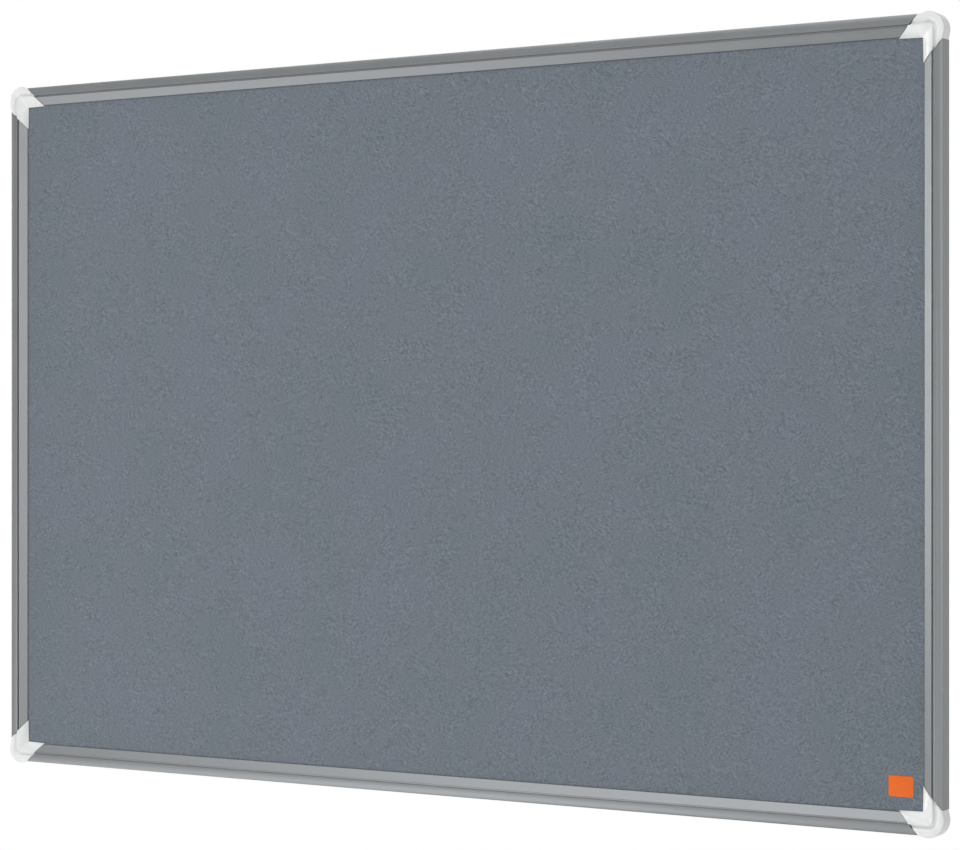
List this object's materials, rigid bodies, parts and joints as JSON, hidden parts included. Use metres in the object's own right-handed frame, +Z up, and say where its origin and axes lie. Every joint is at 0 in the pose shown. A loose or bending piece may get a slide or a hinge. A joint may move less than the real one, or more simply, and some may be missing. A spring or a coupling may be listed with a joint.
{
  "type": "felt notice board",
  "caption": "Wall-hung felt notice board in a slim anodised aluminium frame, with white plastic corner covers that pull off to reach through-corner wall fixings.",
  "frame": {"origin": "centre of the wall plane, which is the rear faces of the frame", "axes": "+Y into the wall, so the felt faces -Y; +X along the long side, to the right as seen from the front; +Z up"},
  "size_m": [0.917, 0.0136, 0.617],
  "materials": {
    "anodised_aluminium": "satin silver anodised extrusion",
    "white_plastic": "satin white moulded ABS",
    "connector_nylon": "light grey moulded nylon",
    "felt": "grey needled felt",
    "fibreboard": "pressed wood fibre",
    "backing_laminate": "pale grey resin and paper laminate",
    "zinc_steel": "bright zinc plated"
  },
  "bodies": {
    "board": {"back_sheet": "backing_laminate", "core_board": "fibreboard", "felt_sheet": "felt", "rail_top": "anodised_aluminium", "rail_bottom": "anodised_aluminium", "rail_left": "anodised_aluminium", "rail_right": "anodised_aluminium", "connector_top_left": "connector_nylon", "connector_top_right": "connector_nylon", "connector_bottom_left": "connector_nylon", "connector_bottom_right": "connector_nylon", "screw_top_left_1": "zinc_steel", "screw_top_left_2": "zinc_steel", "screw_top_right_1": "zinc_steel", "screw_top_right_2": "zinc_steel", "screw_bottom_left_1": "zinc_steel", "screw_bottom_left_2": "zinc_steel", "screw_bottom_right_1": "zinc_steel", "screw_bottom_right_2": "zinc_steel"},
    "top_left_cover": {"cover_top_left": "white_plastic"},
    "top_right_cover": {"cover_top_right": "white_plastic"},
    "bottom_left_cover": {"cover_bottom_left": "white_plastic"},
    "bottom_right_cover": {"cover_bottom_right": "white_plastic"}
  },
  "joints": [
    {"name": "pull_top_left_cover", "type": "slide", "parent": "board", "child": "top_left_cover", "axis": [0, -1, 0], "range_m": [0, 0.014]},
    {"name": "pull_top_right_cover", "type": "slide", "parent": "board", "child": "top_right_cover", "axis": [0, -1, 0], "range_m": [0, 0.014]},
    {"name": "pull_bottom_left_cover", "type": "slide", "parent": "board", "child": "bottom_left_cover", "axis": [0, -1, 0], "range_m": [0, 0.014]},
    {"name": "pull_bottom_right_cover", "type": "slide", "parent": "board", "child": "bottom_right_cover", "axis": [0, -1, 0], "range_m": [0, 0.014]}
  ]
}
